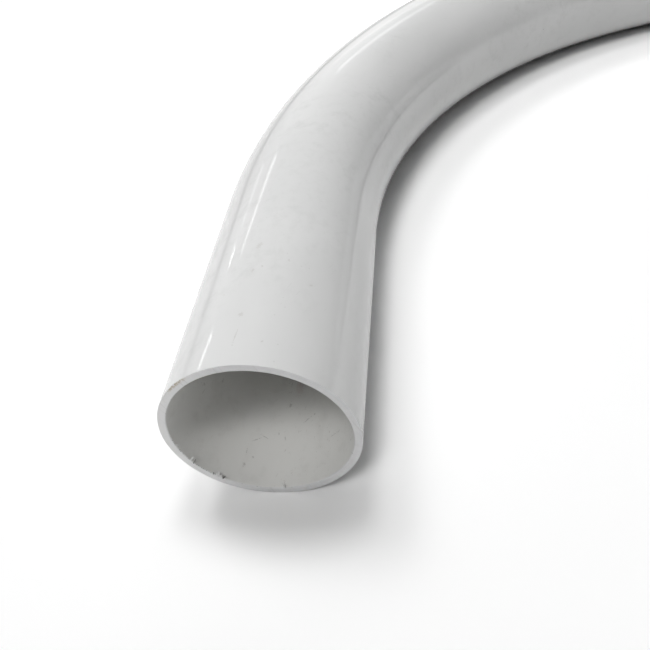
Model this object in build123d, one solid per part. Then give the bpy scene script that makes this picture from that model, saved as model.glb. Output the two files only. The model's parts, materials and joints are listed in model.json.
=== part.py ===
from build123d import *
import os

# A 90 degree elbow of rigid PVC conduit, trade size 6, Schedule 40 wall, standard sweep radius.
# It is one length of plain-ended pipe, heated and bent, with both ends sawn square.
#
# Frame, in millimetres: the origin is the centre of end A's opening. End A faces -Y and its
# straight leg runs along +Y. The bend turns towards +X, so end B faces +X. The whole
# centreline lies in the plane Z = 0, and the elbow lies flat on Z = -OUTSIDE_DIAMETER / 2.

# Driving dimensions
OUTSIDE_DIAMETER = 168.28  # 6.625 in
WALL = 7.11  # 0.280 in
BEND_RADIUS = 762.0  # 30 in, to the centreline
BEND_ANGLE = 90.0  # degrees
STRAIGHT_END = 279.4  # 11 in of straight pipe at each end
DEBURR = 0.8  # leg of the 45 degree scrape on each bore's edge

# Worked out from them
OUTER_RADIUS = OUTSIDE_DIAMETER / 2
BORE_RADIUS = OUTER_RADIUS - WALL
BEND_CENTRE = (BEND_RADIUS, STRAIGHT_END, 0)


def centreline():
    """The pipe's axis from end A to end B: straight, quarter circle, straight."""
    leg_a = Line((0, 0), (0, STRAIGHT_END))
    bend = CenterArc(BEND_CENTRE, BEND_RADIUS, 180, -BEND_ANGLE)
    leg_b = Line(bend @ 1, bend @ 1 + STRAIGHT_END * (bend % 1))
    return Wire([leg_a, bend, leg_b])


def pipe_section():
    """The ring that the pipe shows where it is cut square, standing in end A's plane."""
    return Plane.XZ * (Circle(OUTER_RADIUS) - Circle(BORE_RADIUS))


def bore_edges(pipe):
    """The two circles where the bore meets the sawn end faces."""
    ends = pipe.faces().filter_by(GeomType.PLANE)
    return [edge for end in ends for edge in end.edges() if edge.radius < OUTER_RADIUS - WALL / 2]


def bent_pipe():
    """The elbow: the pipe section carried along the centreline, its bore edges scraped."""
    pipe = sweep(pipe_section(), path=centreline())
    return chamfer(bore_edges(pipe), DEBURR)


os.makedirs("parts", exist_ok=True)
export_step(bent_pipe(), "parts/elbow.step")
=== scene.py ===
import math

import bpy
import numpy as np
from mathutils import Matrix, Vector
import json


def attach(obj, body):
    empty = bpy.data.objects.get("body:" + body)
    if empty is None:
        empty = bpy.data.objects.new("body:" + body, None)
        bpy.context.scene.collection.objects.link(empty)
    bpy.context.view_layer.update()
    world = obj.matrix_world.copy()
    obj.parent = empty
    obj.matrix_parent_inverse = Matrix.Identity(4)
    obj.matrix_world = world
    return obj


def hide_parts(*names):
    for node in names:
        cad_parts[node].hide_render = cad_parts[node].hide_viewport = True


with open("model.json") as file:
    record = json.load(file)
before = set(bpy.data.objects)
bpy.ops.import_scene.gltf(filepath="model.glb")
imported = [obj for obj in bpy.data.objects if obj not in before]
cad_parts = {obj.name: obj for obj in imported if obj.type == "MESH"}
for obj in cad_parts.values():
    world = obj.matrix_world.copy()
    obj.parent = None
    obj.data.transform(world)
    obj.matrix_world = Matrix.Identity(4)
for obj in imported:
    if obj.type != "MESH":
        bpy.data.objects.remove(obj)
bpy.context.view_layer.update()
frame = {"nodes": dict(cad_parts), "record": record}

# The looks of the PVC sweep elbow: the pipe as a dense mesh with its small marks of use, the
# plastic shavings left on its sawn ends, a white floor and soft studio light. All in metres.

MM = 0.001

# Dimensions, read from the frame
mounts = {m["name"]: m for m in frame["record"]["mounts"]}
OUTER_R = mounts["spigot_a"]["dims"]["r_mm"] * MM
LEG = mounts["spigot_a"]["dims"]["length_mm"] * MM
BEND_R = mounts["spigot_b"]["pos_m"][0] - LEG
cad = np.array([v.co for v in frame["nodes"]["elbow"].data.vertices])
near_end_a = cad[cad[:, 1] < LEG / 2]
BORE_R = float(np.hypot(near_end_a[:, 0], near_end_a[:, 2]).min())
OD = 2 * OUTER_R
WALL = OUTER_R - BORE_R
ARC = BEND_R * math.pi / 2
TOTAL = 2 * LEG + ARC
FLOOR_Z = -OUTER_R

# Edges and unevenness
OUTER_EDGE = 0.25 * MM
INNER_EDGE = 0.8 * MM
SAW_WANDER = 0.12 * MM
SAW_FADE = 20 * MM
SCRAPE_WANDER = 0.18 * MM
SCRAPE_REACH = 1.5 * INNER_EDGE
SCRAPE_WAVES = 30

# Mesh density
AROUND = 216
RINGS_LEG = 34
RINGS_BEND = 150
RINGS_BORE_LEG = 26
RINGS_BORE_BEND = 90
RINGS_FACE = 7

rng = np.random.default_rng(7)


def bent(s, side, height):
    """Points at distance s along the centreline, side towards the bend's inside and height up."""
    s, side, height = np.broadcast_arrays(s, side, height)
    turn = np.clip((s - LEG) / BEND_R, 0, math.pi / 2)
    before = np.minimum(s - LEG, 0)
    after = np.maximum(s - LEG - ARC, 0)
    x = BEND_R - BEND_R * np.cos(turn) + after + side * np.cos(turn)
    y = LEG + BEND_R * np.sin(turn) + before - side * np.sin(turn)
    return np.stack([x, y, height], axis=-1)


def wander(angle, seed, waves=9):
    """A smooth closed curve around the pipe, between -1 and 1."""
    own = np.random.default_rng(seed)
    total = np.zeros_like(angle)
    for n in range(1, waves + 1):
        total += own.normal() / n**0.7 * np.cos(n * angle + own.uniform(0, 2 * math.pi))
    return total / np.abs(total).max()


def spaced(lo, hi, count):
    return list(np.linspace(lo, hi, count))


# ---------------------------------------------------------------- the pipe

def profile():
    """The wall cut lengthwise, as a closed outline of rings (distance along, radius, zone)."""
    first, last = OUTER_EDGE, TOTAL - OUTER_EDGE
    outer = (
        spaced(first, LEG, RINGS_LEG)
        + spaced(LEG, LEG + ARC, RINGS_BEND)[1:-1]
        + spaced(LEG + ARC, last, RINGS_LEG)
    )
    inner = (
        spaced(TOTAL - INNER_EDGE, LEG + ARC, RINGS_BORE_LEG)
        + spaced(LEG + ARC, LEG, RINGS_BORE_BEND)[1:-1]
        + spaced(LEG, INNER_EDGE, RINGS_BORE_LEG)
    )
    face = spaced(OUTER_R - OUTER_EDGE, BORE_R + INNER_EDGE, RINGS_FACE)
    rings = [(s, OUTER_R, "outer") for s in outer]
    rings += [(TOTAL, r, "face") for r in face]
    rings += [(s, BORE_R, "bore") for s in inner]
    rings += [(0.0, r, "face") for r in reversed(face)]
    return rings


def build_pipe():
    rings = profile()
    angle = np.linspace(0, 2 * math.pi, AROUND, endpoint=False)
    # At end B (1) and end A (-1)
    saw = {1: wander(angle, 11), -1: wander(angle, 12)}
    scrape = {1: wander(angle, 13, SCRAPE_WAVES), -1: wander(angle, 14, SCRAPE_WAVES)}
    count = len(rings)
    points = np.zeros((count, AROUND, 3))
    unbent = np.zeros((count, AROUND, 3))
    for i, (s, r, zone) in enumerate(rings):
        which = -1 if s < LEG / 2 else 1
        along = np.full(AROUND, s)
        radius = np.full(AROUND, r)
        reach = min(s, TOTAL - s)
        along -= which * SAW_WANDER * (1 + saw[which]) / 2 * max(0.0, 1 - reach / SAW_FADE)
        if zone == "face" and r < BORE_R + SCRAPE_REACH:
            radius += SCRAPE_WANDER * scrape[which]
        side, height = radius * np.cos(angle), radius * np.sin(angle)
        points[i] = bent(along, side, height)
        unbent[i] = np.stack([side, along, height], axis=-1)
    faces, zones = [], []
    names = ["outer", "face", "bore"]
    for i in range(count):
        j = (i + 1) % count
        a, b = rings[i], rings[j]
        zone = a[2] if a[2] == b[2] else "face"
        for k in range(AROUND):
            n = (k + 1) % AROUND
            faces.append((i * AROUND + k, j * AROUND + k, j * AROUND + n, i * AROUND + n))
            zones.append(names.index(zone))
    mesh = bpy.data.meshes.new("elbow_pipe")
    mesh.from_pydata(points.reshape(-1, 3).tolist(), [], faces)
    mesh.polygons.foreach_set("material_index", np.array(zones, np.int32))
    mesh.polygons.foreach_set("use_smooth", np.ones(len(faces), bool))
    kept = mesh.attributes.new("unbent", "FLOAT_VECTOR", "POINT")
    kept.data.foreach_set("vector", unbent.reshape(-1).astype(np.float32))
    mesh.update()
    corner_rings = {
        i for i in range(count)
        if rings[i][2] != rings[(i + 1) % count][2] or rings[i][2] != rings[i - 1][2]
    }
    sharp = mesh.attributes.new("sharp_edge", "BOOLEAN", "EDGE")
    flags = [
        e.vertices[0] // AROUND == e.vertices[1] // AROUND and e.vertices[0] // AROUND in corner_rings
        for e in mesh.edges
    ]
    sharp.data.foreach_set("value", np.array(flags, bool))
    piece = bpy.data.objects.new("elbow_pipe", mesh)
    bpy.context.scene.collection.objects.link(piece)
    return piece


pipe = build_pipe()
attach(pipe, "root")
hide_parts("elbow")


# ---------------------------------------------------------------- shavings on the sawn edges

FLAT = math.pi / 2


class Shavings:
    """Curls and crumbs of plastic that the saw left hanging on the bore's edge at one end."""

    STEPS = 12
    SECTION = 6
    ROOT_IN = 0.6 * INNER_EDGE
    ROOT_DEEP = 0.5 * INNER_EDGE
    TIP_THINNING = 0.8
    WAVINESS = 0.15

    def __init__(self, at_end_b):
        self.at_end_b = at_end_b
        self.points, self.faces, self.painted_shades = [], [], []

    def curl(self, angle, length, width, thickness, lean=0.0, curl=0.0, out=0.0, roll=0.0, painted_shade=0.0):
        """One ribbon: it leaves the edge towards the middle, leans and curls in the sawn plane, and
        comes out of the pipe (out above 0) or goes into the bore (below 0). Roll turns its broad
        side, and painted_shade from 0 to 1 darkens it with painted shade."""
        start = len(self.points)
        here = np.array([math.cos(angle), 0.0, math.sin(angle)]) * (BORE_R + self.ROOT_IN)
        here[1] = self.ROOT_DEEP
        heading = angle + math.pi + lean
        step = length / self.STEPS
        for i in range(self.STEPS + 1):
            t = i / self.STEPS
            turned = heading + curl * t * t
            ahead = np.array([math.cos(turned), -out * t, math.sin(turned)])
            ahead /= np.linalg.norm(ahead)
            level = np.cross(ahead, [0.0, 1.0, 0.0])
            level /= np.linalg.norm(level)
            upright = np.cross(level, ahead)
            twist = roll * (0.9 + 0.1 * t)
            wide = upright * math.cos(twist) + level * math.sin(twist)
            thin = level * math.cos(twist) - upright * math.sin(twist)
            wavy = 1 - self.WAVINESS + self.WAVINESS * math.cos(9 * t + angle * 7)
            taper = (1 - self.TIP_THINNING * t * t) * wavy
            for k in range(self.SECTION):
                a = 2 * math.pi * k / self.SECTION
                offset = wide * math.cos(a) * width / 2 + thin * math.sin(a) * thickness / 2
                self.points.append(here + offset * taper)
                self.painted_shades.append(painted_shade)
            here = here + ahead * step
        n = self.SECTION
        for i in range(self.STEPS):
            for k in range(n):
                a, b = start + i * n + k, start + i * n + (k + 1) % n
                self.faces.append((a, b, b + n, a + n))
        self.faces.append(tuple(start + k for k in reversed(range(n))))
        self.faces.append(tuple(start + self.STEPS * n + k for k in range(n)))

    def cluster(self, angle, spread, length, width, count):
        """Ragged curls side by side over a short part of the edge."""
        for i in range(count):
            self.curl(
                angle + spread * (i / max(count - 1, 1) - 0.5),
                length * rng.uniform(0.55, 1.0),
                width * rng.uniform(0.6, 1.0),
                rng.uniform(0.25, 0.45) * MM,
                rng.normal() * 0.5,
                rng.normal() * 1.0,
                rng.uniform(0.0, 0.7),
                rng.uniform(-1.3, 1.3),
            )

    def fringe(self, lo, hi, count):
        """Short crumbs along part of the edge, some darkened with painted shade."""
        for angle in rng.uniform(lo, hi, count):
            self.curl(
                angle,
                rng.uniform(0.5, 1.4) * MM,
                rng.uniform(0.4, 0.9) * MM,
                rng.uniform(0.2, 0.4) * MM,
                rng.normal() * 0.7,
                rng.normal(),
                rng.uniform(-0.2, 0.4),
                rng.uniform(-1.5, 1.5),
                rng.choice((0.0, 0.7)),
            )

    def build(self, name):
        side, along, height = np.array(self.points).T
        if self.at_end_b:
            side, along = -side, TOTAL - along
        unbent = np.stack([side, along, height], axis=-1)
        mesh = bpy.data.meshes.new(name)
        mesh.from_pydata(bent(along, side, height).tolist(), [], self.faces)
        mesh.polygons.foreach_set("use_smooth", np.ones(len(self.faces), bool))
        kept = mesh.attributes.new("unbent", "FLOAT_VECTOR", "POINT")
        kept.data.foreach_set("vector", unbent.reshape(-1).astype(np.float32))
        # painted shade per point, which the shaving material darkens by
        darkening = mesh.attributes.new("painted_shade", "FLOAT", "POINT")
        darkening.data.foreach_set("value", np.array(self.painted_shades, np.float32))
        mesh.update()
        piece = bpy.data.objects.new(name, mesh)
        bpy.context.scene.collection.objects.link(piece)
        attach(piece, "root")
        return piece


near = Shavings(at_end_b=False)
# Angle (degrees, -90 is the bottom), length, width and thickness (mm), and the ribbon's bearing.
# A roll of FLAT lays a ribbon in the sawn plane.
NEAR_CURLS = [
    # a tiny spur
    (-170, 3.2, 2.2, 0.5, {"lean": -0.1, "out": -0.3, "roll": FLAT}),
    # the main spur, with a ribbon beside it darkened as painted shade
    (-153, 6.4, 2.7, 0.5, {"lean": 0.45, "curl": -0.35, "out": -0.15, "roll": FLAT}),
    (-150, 4.8, 2.6, 0.9, {"lean": 0.5, "curl": -0.3, "out": -0.7, "roll": 0.2, "painted_shade": 1.0}),
    # a broad flake with its ends turned up and darkened as painted shade
    (-131, 5.4, 4.4, 0.5, {"lean": 0.15, "out": -0.7, "roll": FLAT}),
    (-129, 4.8, 3.8, 0.5, {"lean": -0.1, "out": -0.5, "roll": FLAT}),
    (-127, 3.8, 2.4, 1.0, {"lean": -0.4, "curl": 0.3, "out": -0.4, "roll": 0.3, "painted_shade": 1.0}),
    (-134, 2.4, 2.0, 1.0, {"lean": 0.3, "out": -0.4, "roll": 0.3, "painted_shade": 1.0}),
    # a long thin whisker and its dark side, which is painted shade
    (-85, 9.5, 1.1, 0.5, {"lean": -0.1, "curl": 0.25, "out": 0.1, "roll": 1.1}),
    (-84, 8.0, 1.2, 0.6, {"lean": -0.1, "curl": 0.2, "out": -0.4, "roll": 0.3, "painted_shade": 0.9}),
]
for angle, length, width, thickness, bearing in NEAR_CURLS:
    near.curl(math.radians(angle), length * MM, width * MM, thickness * MM, **bearing)
# crumbs along the edge, some darkened as painted shade
near.fringe(math.radians(-151), math.radians(-134), 40)
near.fringe(math.radians(-176), math.radians(-152), 30)
near.fringe(-math.pi, math.pi, 26)
far = Shavings(at_end_b=True)
far.cluster(math.radians(-120), math.radians(4.0), 4.0 * MM, 1.8 * MM, 4)
far.curl(math.radians(-35), 5.0 * MM, 0.8 * MM, 0.4 * MM, lean=0.2, curl=0.6, out=0.4, roll=0.6)
far.fringe(math.radians(-140), math.radians(-60), 30)
far.fringe(-math.pi, math.pi, 20)
end_a_shavings = near.build("end_a_shavings")
end_b_shavings = far.build("end_b_shavings")


# ---------------------------------------------------------------- materials

PVC_IOR = 1.53


def add(tree, kind, inputs=None, **settings):
    """A new node; inputs holds values or sockets to link from."""
    made = tree.nodes.new(kind)
    for key, value in settings.items():
        setattr(made, key, value)
    for key, value in (inputs or {}).items():
        if isinstance(value, bpy.types.NodeSocket):
            tree.links.new(value, made.inputs[key])
        else:
            made.inputs[key].default_value = value
    return made


class Look:
    """A node material under construction, with short names for what the plastic needs."""

    def __init__(self, name):
        self.material = bpy.data.materials.new(name)
        self.material.use_nodes = True
        self.tree = self.material.node_tree
        self.tree.nodes.clear()
        self.place = add(self.tree, "ShaderNodeAttribute", attribute_name="unbent").outputs["Vector"]

    def sum(self, *values):
        total = values[0]
        for value in values[1:]:
            total = self.calc("ADD", total, value)
        return total

    def calc(self, operation, a, b=0.0):
        return add(self.tree, "ShaderNodeMath", {0: a, 1: b}, operation=operation).outputs[0]

    def stretched(self, scales, turn=(0.0, 0.0, 0.0)):
        """The unbent place, turned by degrees and then scaled per axis."""
        turned = add(
            self.tree, "ShaderNodeVectorRotate",
            {"Vector": self.place, "Rotation": tuple(math.radians(v) for v in turn)},
            rotation_type="EULER_XYZ",
        ).outputs[0]
        return add(
            self.tree, "ShaderNodeVectorMath", {0: turned, 1: scales}, operation="MULTIPLY"
        ).outputs[0]

    def noise(self, scales, detail=3.0, turn=(0.0, 0.0, 0.0), rough=0.5):
        where = self.stretched(scales, turn)
        return add(
            self.tree, "ShaderNodeTexNoise",
            {"Vector": where, "Scale": 1.0, "Detail": detail, "Roughness": rough},
        ).outputs[0]

    def ramp(self, value, lo, hi, to_lo=0.0, to_hi=1.0):
        return add(
            self.tree, "ShaderNodeMapRange",
            {"Value": value, "From Min": lo, "From Max": hi, "To Min": to_lo, "To Max": to_hi},
            interpolation_type="SMOOTHSTEP",
        ).outputs[0]

    def specks(self, per_metre, radius, share):
        """Dots: share of the cells hold one, and radius is in cells."""
        where = self.stretched((per_metre,) * 3)
        cells = add(self.tree, "ShaderNodeTexVoronoi", {"Vector": where, "Scale": 1.0}, feature="F1")
        dot = self.ramp(cells.outputs["Distance"], radius, radius * 0.5)
        pick = self.ramp(
            add(self.tree, "ShaderNodeSeparateColor", {"Color": cells.outputs["Color"]}).outputs[0],
            1 - share, 1 - share + 0.01,
        )
        return self.calc("MULTIPLY", dot, pick)

    def hairlines(self, turn, across, along, cut):
        """Fine scratches: noise stretched along one direction, with only its peaks kept."""
        lines = self.ramp(self.noise((across, along, across), 1.0, turn), cut, cut + 0.06)
        patches = self.noise((22.0, 13.0, 22.0), 2.0, (turn[1], 31.0, turn[0]))
        return self.calc("MULTIPLY", lines, self.ramp(patches, 0.5, 0.62))

    def marks(self, radius, ovals):
        """Oval marks on the wall: angle around (degrees), distance from end A, length, width (mm), tilt."""
        split = add(self.tree, "ShaderNodeSeparateXYZ", {0: self.place})
        around = self.calc("MULTIPLY", self.calc("ARCTAN2", split.outputs[2], split.outputs[0]), radius)
        spread = add(self.tree, "ShaderNodeCombineXYZ", {0: around, 1: split.outputs[1]}).outputs[0]
        ragged = self.ramp(self.noise((700.0, 700.0, 700.0), 2.0), 0.3, 0.7, -0.45, 0.45)
        total = None
        for angle, along, long, wide, tilt in ovals:
            own = add(
                self.tree, "ShaderNodeMapping",
                {
                    "Vector": spread,
                    "Location": (math.radians(angle) * radius, along * MM, 0.0),
                    "Rotation": (0.0, 0.0, math.radians(tilt)),
                    "Scale": (long * MM / 2, wide * MM / 2, 1.0),
                },
                vector_type="TEXTURE",
            ).outputs[0]
            reach = add(self.tree, "ShaderNodeVectorMath", {0: own}, operation="LENGTH").outputs["Value"]
            oval = self.ramp(self.calc("ADD", reach, ragged), 1.2, 0.5)
            total = oval if total is None else self.calc("MAXIMUM", total, oval)
        return total

    def tint(self, base, colour, amount):
        inputs = {0: amount, 6: base, 7: (*colour, 1)}
        return add(self.tree, "ShaderNodeMix", inputs, data_type="RGBA").outputs[2]

    def rgb(self, value):
        made = add(self.tree, "ShaderNodeRGB")
        made.outputs[0].default_value = (*value, 1)
        return made.outputs[0]

    def layered(self, colour, layers):
        """The colour with layers over it, each a colour, the mask it follows and its strength."""
        for shade, mask, strength in layers:
            colour = self.tint(colour, shade, self.calc("MULTIPLY", mask, strength))
        return colour

    def bump(self, height, depth, below=None):
        inputs = {"Strength": 1.0, "Distance": depth, "Height": height}
        if below is not None:
            inputs["Normal"] = below
        return add(self.tree, "ShaderNodeBump", inputs).outputs[0]

    def finish(self, colour, roughness, normal, **more):
        inputs = {"Base Color": colour, "Roughness": roughness, "Normal": normal, "IOR": PVC_IOR}
        inputs.update(more)
        shader = add(self.tree, "ShaderNodeBsdfPrincipled", inputs)
        add(self.tree, "ShaderNodeOutputMaterial", {"Surface": shader.outputs[0]})
        return self.material


def outer_skin():
    """Glossy skin of the extruded pipe: faint die lines, dull patches, dust, grit and a few hairlines."""
    look = Look("pvc_outer")
    mottle = look.noise((11.0, 5.0, 11.0), 5.0)
    blotch = look.ramp(look.noise((95.0, 70.0, 95.0), 5.0, (15.0, 5.0, 0.0), 0.65), 0.46, 0.70)
    smudge = look.ramp(look.noise((42.0, 26.0, 42.0), 6.0, (20.0, 0.0, 35.0), 0.62), 0.54, 0.72)
    area = look.ramp(look.noise((7.0, 4.0, 7.0), 2.0, (0.0, 60.0, 10.0)), 0.38, 0.56)
    smudge = look.calc("MULTIPLY", smudge, area)
    blotch = look.calc("MULTIPLY", blotch, area)
    dust = look.specks(150.0, 0.12, 0.22)
    grit = look.specks(34.0, 0.035, 0.15)
    hair = look.sum(
        look.hairlines((18.0, 0.0, 24.0), 900.0, 22.0, 0.70),
        look.hairlines((-35.0, 12.0, -48.0), 1100.0, 30.0, 0.71),
    )
    darkening = look.marks(OUTER_R, OUTER_MARKS)
    white = look.rgb((0.785, 0.788, 0.784))
    plastic = look.tint(white, (0.746, 0.75, 0.746), look.ramp(mottle, 0.35, 0.65))
    colour = look.layered(plastic, [
        ((0.675, 0.68, 0.67), blotch, 0.35),
        ((0.60, 0.61, 0.60), smudge, 0.35),
        ((0.40, 0.40, 0.38), dust, 0.38),
        ((0.22, 0.21, 0.19), grit, 0.55),
        ((0.62, 0.63, 0.62), hair, 0.30),
        ((0.42, 0.41, 0.385), darkening, 0.42),
    ])
    rough = look.sum(
        look.ramp(mottle, 0.3, 0.7, 0.06, 0.09),
        look.calc("MULTIPLY", smudge, 0.12),
        look.calc("MULTIPLY", hair, 0.14),
        look.calc("MULTIPLY", dust, 0.3),
        look.calc("MULTIPLY", darkening, 0.3),
    )
    lines = look.noise((260.0, 3.0, 260.0), 2.0)
    peel = look.noise((90.0, 40.0, 90.0), 1.0)
    normal = look.bump(lines, 0.006 * MM)
    normal = look.bump(peel, 0.006 * MM, normal)
    normal = look.bump(look.calc("SUBTRACT", dust, hair), 0.02 * MM, normal)
    return look.finish(colour, rough, normal)


def bore_skin():
    """Satin skin inside: warmer, with rubbed patches, grit and short scratches from pulled cables."""
    look = Look("pvc_bore")
    mottle = look.noise((16.0, 7.0, 16.0), 5.0)
    rubbed = look.ramp(look.noise((60.0, 38.0, 60.0), 6.0, (10.0, 25.0, 0.0), 0.65), 0.50, 0.70)
    grit = look.specks(60.0, 0.05, 0.05)
    crumbs = look.specks(26.0, 0.035, 0.06)
    hair = look.sum(
        look.hairlines((8.0, 0.0, 14.0), 700.0, 26.0, 0.70),
        look.hairlines((42.0, 0.0, 58.0), 800.0, 34.0, 0.71),
    )
    marks = look.marks(BORE_R, BORE_MARKS)
    red = look.marks(BORE_R, RED_MARKS)
    white = look.rgb((0.937, 0.934, 0.912))
    plastic = look.tint(white, (0.904, 0.901, 0.879), look.ramp(mottle, 0.35, 0.65))
    colour = look.layered(plastic, [
        ((0.66, 0.65, 0.62), rubbed, 0.22),
        ((0.36, 0.34, 0.30), grit, 0.35),
        ((0.25, 0.22, 0.18), crumbs, 0.6),
        ((0.48, 0.46, 0.43), hair, 0.35),
        ((0.24, 0.23, 0.21), marks, 0.30),
        ((0.46, 0.24, 0.24), red, 0.16),
    ])
    rough = look.sum(
        look.ramp(mottle, 0.3, 0.7, 0.32, 0.42),
        look.calc("MULTIPLY", rubbed, 0.12),
        look.calc("MULTIPLY", hair, 0.2),
    )
    normal = look.bump(look.noise((240.0, 6.0, 240.0), 2.0), 0.012 * MM)
    normal = look.bump(look.noise((110.0, 60.0, 110.0), 2.0), 0.025 * MM, normal)
    normal = look.bump(look.calc("SUBTRACT", crumbs, look.calc("ADD", hair, marks)), 0.05 * MM, normal)
    return look.finish(colour, rough, normal)


def sawn_skin():
    """Matt sawn plastic: fine parallel saw marks, a few deeper ones, painted light making the left side
    lighter, and a yellow-brown stain at end A."""
    look = Look("pvc_sawn")
    marks = look.noise((1500.0, 12.0, 60.0), 2.0, (0.0, 24.0, 0.0))
    deep = look.ramp(look.noise((420.0, 5.0, 16.0), 1.0, (0.0, 24.0, 0.0)), 0.6, 0.72)
    mottle = look.noise((120.0, 60.0, 120.0), 4.0)
    split = add(look.tree, "ShaderNodeSeparateXYZ", {0: look.place})
    # painted light: the sawn faces made lighter towards their left side
    painted_left_light = look.ramp(split.outputs[0], -0.1 * OUTER_R, -0.8 * OUTER_R)
    flat = add(look.tree, "ShaderNodeCombineXYZ", {0: split.outputs[0], 2: split.outputs[2]}).outputs[0]
    radius = add(look.tree, "ShaderNodeVectorMath", {0: flat}, operation="LENGTH").outputs["Value"]
    unit = add(look.tree, "ShaderNodeVectorMath", {0: flat}, operation="NORMALIZE").outputs[0]
    stain_way = (math.cos(STAIN_ANGLE), 0.0, math.sin(STAIN_ANGLE))
    facing = add(
        look.tree, "ShaderNodeVectorMath", {0: unit, 1: stain_way}, operation="DOT_PRODUCT"
    ).outputs["Value"]
    stain = look.ramp(facing, math.cos(STAIN_HALF), 1.0)
    for limit in (
        look.ramp(radius, OUTER_R - 0.5 * WALL, OUTER_R - 0.1 * WALL),
        look.ramp(split.outputs[1], LEG, 0.5 * LEG),
        look.ramp(look.noise((500.0, 500.0, 500.0), 3.0), 0.35, 0.6),
    ):
        stain = look.calc("MULTIPLY", stain, limit)
    white = look.rgb((0.853, 0.855, 0.86))
    plastic = look.tint(white, (0.81, 0.81, 0.812), look.ramp(mottle, 0.3, 0.7))
    colour = look.layered(plastic, [
        # painted light on the left side of the sawn faces
        ((0.98, 0.98, 0.975), painted_left_light, 0.95),
        ((0.58, 0.575, 0.56), deep, 0.25),
        ((0.42, 0.33, 0.16), stain, 0.75),
    ])
    rough = look.ramp(mottle, 0.3, 0.7, 0.45, 0.58)
    normal = look.bump(marks, 0.03 * MM)
    normal = look.bump(deep, -0.05 * MM, normal)
    return look.finish(colour, rough, normal)


def shaving_skin():
    """Thin torn plastic that light passes into a little, dark where the painted_shade attribute paints
    shade.
    """
    look = Look("pvc_shaving")
    mottle = look.noise((900.0, 900.0, 900.0), 2.0)
    painted_shade = add(look.tree, "ShaderNodeAttribute", attribute_name="painted_shade").outputs["Fac"]
    white = look.rgb((0.88, 0.88, 0.87))
    plastic = look.tint(white, (0.80, 0.80, 0.79), look.ramp(mottle, 0.35, 0.65))
    # painted shade: darkened where the painted_shade attribute is set
    colour = look.layered(plastic, [((0.16, 0.15, 0.14), painted_shade, 0.8)])
    rough = look.ramp(mottle, 0.3, 0.7, 0.4, 0.6)
    glow = {"Subsurface Weight": 0.3, "Subsurface Radius": (1.0, 1.0, 1.0), "Subsurface Scale": MM}
    return look.finish(colour, rough, look.bump(mottle, 0.05 * MM), **glow)


# Ovals of dirt and wear: angle around the pipe (degrees, 90 is the top), distance from end A,
# length around, width along (mm), tilt (degrees)
OUTER_MARKS = [
    (95, 145, 5, 7, 15),
    (95, 110, 2, 5, 10),
    (90, 115, 2, 3, 0),
    (110, 85, 2, 3, 0),
    (95, 55, 4, 4, 0),
    (80, 25, 2, 2, 0),
    (95, 30, 1, 16, 5),
    (75, 125, 2, 3, 0),
    (60, 100, 3, 3, 0),
]
BORE_MARKS = [
    (-115, 20, 3, 4, 0),
    (-110, 30, 2, 3, 0),
    (-115, 35, 1, 7, 0),
    (-145, 100, 2, 5, 0),
    (-160, 80, 3, 4, 0),
    (-90, 95, 3, 5, 0),
    (-75, 75, 9, 1, 40),
    (-70, 80, 2, 2, 0),
    (-110, 50, 9, 1, 35),
    (-105, 55, 8, 1, -25),
    (-50, 45, 9, 1, 10),
    (-45, 45, 5, 1, 40),
    (-95, 60, 1, 5, 10),
    (-90, 55, 1, 6, 15),
    (-25, 20, 3, 3, 0),
]
RED_MARKS = [(-85, 120, 9, 26, 0)]
STAIN_ANGLE = math.radians(130)
STAIN_HALF = math.radians(10)

for made in (outer_skin(), sawn_skin(), bore_skin()):
    pipe.data.materials.append(made)
torn = shaving_skin()
end_a_shavings.data.materials.append(torn)
end_b_shavings.data.materials.append(torn)


# ---------------------------------------------------------------- floor, light and camera

# The floor's reflectance: for the light it passes on, as the camera sees it (bleached towards the
# horizon, so that it meets the white background), and as the gloss mirrors it (darker far away)
FLOOR_WHITE = 0.85
SEEN_NEAR, SEEN_FAR = 1.08, 1.38
SEEN_FROM, SEEN_TO = 0.35, 2.0
MIRRORED_NEAR, MIRRORED_FAR = 1.0, 0.25
MIRRORED_FROM, MIRRORED_TO = 0.8, 5.0
FLOOR_HALF = 40.0


def build_floor():
    mesh = bpy.data.meshes.new("floor")
    signs = [(-1, -1), (1, -1), (1, 1), (-1, 1)]
    corners = [(x * FLOOR_HALF, y * FLOOR_HALF, FLOOR_Z) for x, y in signs]
    mesh.from_pydata(corners, [], [(0, 1, 2, 3)])
    made = bpy.data.objects.new("floor", mesh)
    bpy.context.scene.collection.objects.link(made)
    material = bpy.data.materials.new("floor_white")
    material.use_nodes = True
    tree = material.node_tree
    tree.nodes.clear()
    ray = add(tree, "ShaderNodeLightPath")
    spot = add(tree, "ShaderNodeNewGeometry").outputs["Position"]
    reach = add(tree, "ShaderNodeVectorMath", {0: spot}, operation="LENGTH").outputs["Value"]

    def faded(start, stop, near, far):
        return add(
            tree, "ShaderNodeMapRange",
            {"Value": reach, "From Min": start, "From Max": stop, "To Min": near, "To Max": far},
            interpolation_type="SMOOTHSTEP",
        ).outputs[0]

    seen = faded(SEEN_FROM, SEEN_TO, SEEN_NEAR, SEEN_FAR)
    mirrored = faded(MIRRORED_FROM, MIRRORED_TO, MIRRORED_NEAR, MIRRORED_FAR)
    white = FLOOR_WHITE
    for kind, level in (("Is Camera Ray", seen), ("Is Glossy Ray", mirrored)):
        white = add(
            tree, "ShaderNodeMix", {0: ray.outputs[kind], 2: white, 3: level}, data_type="FLOAT"
        ).outputs[0]
    shader = add(tree, "ShaderNodeBsdfDiffuse", {"Color": white})
    add(tree, "ShaderNodeOutputMaterial", {"Surface": shader.outputs[0]})
    mesh.materials.append(material)
    return made


floor = build_floor()


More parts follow.
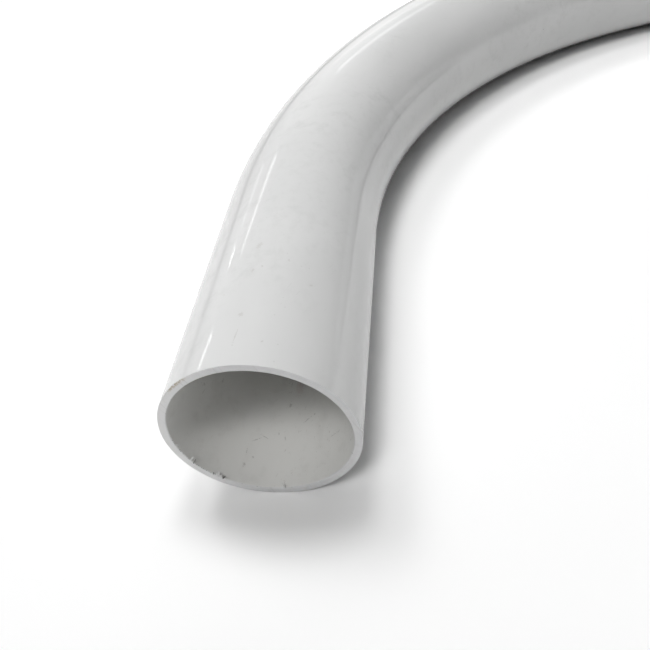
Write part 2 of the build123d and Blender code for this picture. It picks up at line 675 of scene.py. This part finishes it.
# Soft lights of the studio: azimuth from +Y towards +X and elevation (degrees), half width at
# half brightness (degrees), brightness at the middle
SOFT_LIGHTS = [
    (315, 10, 20, 0.8),  # a wide glow at the left
    (0, 10, 20, 1.2),  # a wide glow ahead
    (315, 60, 7, 13),  # a lamp high at the left
    (190, 60, 6, 24),  # a lamp high behind the viewer
    (40, 65, 8, 2.5),  # a lamp high at the right
]
# The key lamp, a disc nearer by: its direction and half width seen from end A (degrees), its
# distance (metres) and its brightness
KEY_AZIMUTH = 0
KEY_ELEVATION = 73
KEY_HALF = 8
KEY_DISTANCE = 2.0
KEY_GLOW = 13
# Thin bar lamps behind the elbow, which the gloss shows as streaks. They stand in the plane
# y = BAR_PLANE and face BAR_AIM: middle (x, z), length, tilt (degrees), thickness, brightness.
# Places and lengths in outside diameters.
BAR_PLANE = 8.0
BARS = {
    "long_left": (-8.5, 3.75, 1.5, 10, 0.2, 6),
    "short_left": (-6.0, 2.25, 0.5, -10, 0.12, 7),
    "high": (-4.0, 3.25, 2.5, -15, 0.2, 2.5),
    "middle": (-4.5, 2.0, 1.5, -5, 0.1, 2),
    "right": (0.5, 2.5, 2.0, 0, 0.25, 1),
    "low_right": (0.0, 1.5, 2.0, 10, 0.1, 0.8),
}
BAR_AIM = (0.0, 1.5, 0.5)


def toward(azimuth, elevation):
    a, e = math.radians(azimuth), math.radians(elevation)
    return (math.sin(a) * math.cos(e), math.cos(a) * math.cos(e), math.sin(e))


def build_world():
    """White to the camera; for everything else, the soft lights in a dark room."""
    world = bpy.data.worlds.new("studio")
    world.use_nodes = True
    tree = world.node_tree
    tree.nodes.clear()

    def calc(operation, a, b=0.0):
        return add(tree, "ShaderNodeMath", {0: a, 1: b}, operation=operation).outputs[0]

    def vector(operation, a, b=(0.0, 0.0, 0.0), out="Vector"):
        return add(tree, "ShaderNodeVectorMath", {0: a, 1: b}, operation=operation).outputs[out]

    way = vector("NORMALIZE", add(tree, "ShaderNodeTexCoord").outputs["Generated"])
    total = None
    for azimuth, elevation, half, peak in SOFT_LIGHTS:
        sharp = math.log(2) / (1 - math.cos(math.radians(half)))
        facing = vector("DOT_PRODUCT", way, toward(azimuth, elevation), "Value")
        glow = calc("EXPONENT", calc("MULTIPLY", calc("SUBTRACT", facing, 1.0), sharp))
        lamp = calc("MULTIPLY", glow, peak)
        total = lamp if total is None else calc("ADD", total, lamp)
    light = add(tree, "ShaderNodeBackground", {"Color": (1, 1, 1, 1), "Strength": total})
    white = add(tree, "ShaderNodeBackground", {"Color": (1, 1, 1, 1), "Strength": 1.0})
    seen = add(tree, "ShaderNodeLightPath").outputs["Is Camera Ray"]
    mixed = add(tree, "ShaderNodeMixShader", {0: seen, 1: light.outputs[0], 2: white.outputs[0]})
    add(tree, "ShaderNodeOutputWorld", {"Surface": mixed.outputs[0]})
    bpy.context.scene.world = world


def build_bars():
    """A lamp's power is its brightness times pi times its area."""
    aim = Vector(BAR_AIM) * OD
    for name, (x, z, length, tilt, thickness, glow) in BARS.items():
        middle = Vector((x, BAR_PLANE, z)) * OD
        along = Vector((math.cos(math.radians(tilt)), 0.0, math.sin(math.radians(tilt))))
        away = middle - aim
        away = (away - along * away.dot(along)).normalized()
        rows = zip(along, away.cross(along), away, middle)
        data = bpy.data.lights.new(f"bar_{name}", "AREA")
        data.shape = "RECTANGLE"
        data.size, data.size_y = length * OD, thickness * OD
        data.energy = glow * math.pi * data.size * data.size_y
        made = bpy.data.objects.new(f"bar_{name}", data)
        bpy.context.scene.collection.objects.link(made)
        made.matrix_world = Matrix([*rows, (0, 0, 0, 1)])
        made.visible_camera = False
        made.visible_diffuse = False


def build_key():
    """The disc lamp, facing end A, with its power set as for the bars."""
    radius = KEY_DISTANCE * math.tan(math.radians(KEY_HALF))
    data = bpy.data.lights.new("key", "AREA")
    data.shape = "DISK"
    data.size = 2 * radius
    data.energy = KEY_GLOW * math.pi * math.pi * radius**2
    made = bpy.data.objects.new("key", data)
    bpy.context.scene.collection.objects.link(made)
    made.location = Vector(toward(KEY_AZIMUTH, KEY_ELEVATION)) * KEY_DISTANCE
    made.rotation_euler = made.location.to_track_quat("Z", "Y").to_euler()
    made.visible_camera = False


build_world()
build_bars()
build_key()

# Camera: aimed by azimuth and elevation (degrees), rolled, placed in outside diameters
CAMERA_AZIMUTH = 12.5
CAMERA_ELEVATION = 42.75
CAMERA_ROLL = -10.4
CAMERA_PLACE = (0.84, -1.91, 2.53)
CAMERA_LENS = 36.9
SENSOR = 36.0


def build_camera():
    a, e, roll = (math.radians(v) for v in (CAMERA_AZIMUTH, CAMERA_ELEVATION, CAMERA_ROLL))
    back = np.array([math.sin(a) * math.cos(e), -math.cos(a) * math.cos(e), math.sin(e)])
    level = np.cross(-back, [0, 0, 1])
    level /= np.linalg.norm(level)
    up = np.cross(level, -back)
    right = math.cos(roll) * level + math.sin(roll) * up
    top = -math.sin(roll) * level + math.cos(roll) * up
    data = bpy.data.cameras.new("camera")
    data.lens = CAMERA_LENS
    data.sensor_width = SENSOR
    data.clip_start, data.clip_end = 0.01, 100.0
    made = bpy.data.objects.new("camera", data)
    bpy.context.scene.collection.objects.link(made)
    x, y, z = (v * OD for v in CAMERA_PLACE)
    rows = [(right[i], top[i], back[i], (x, y, z)[i]) for i in range(3)] + [(0, 0, 0, 1)]
    made.matrix_world = Matrix(rows)
    bpy.context.scene.camera = made


build_camera()
bpy.context.scene.view_settings.view_transform = "Standard"
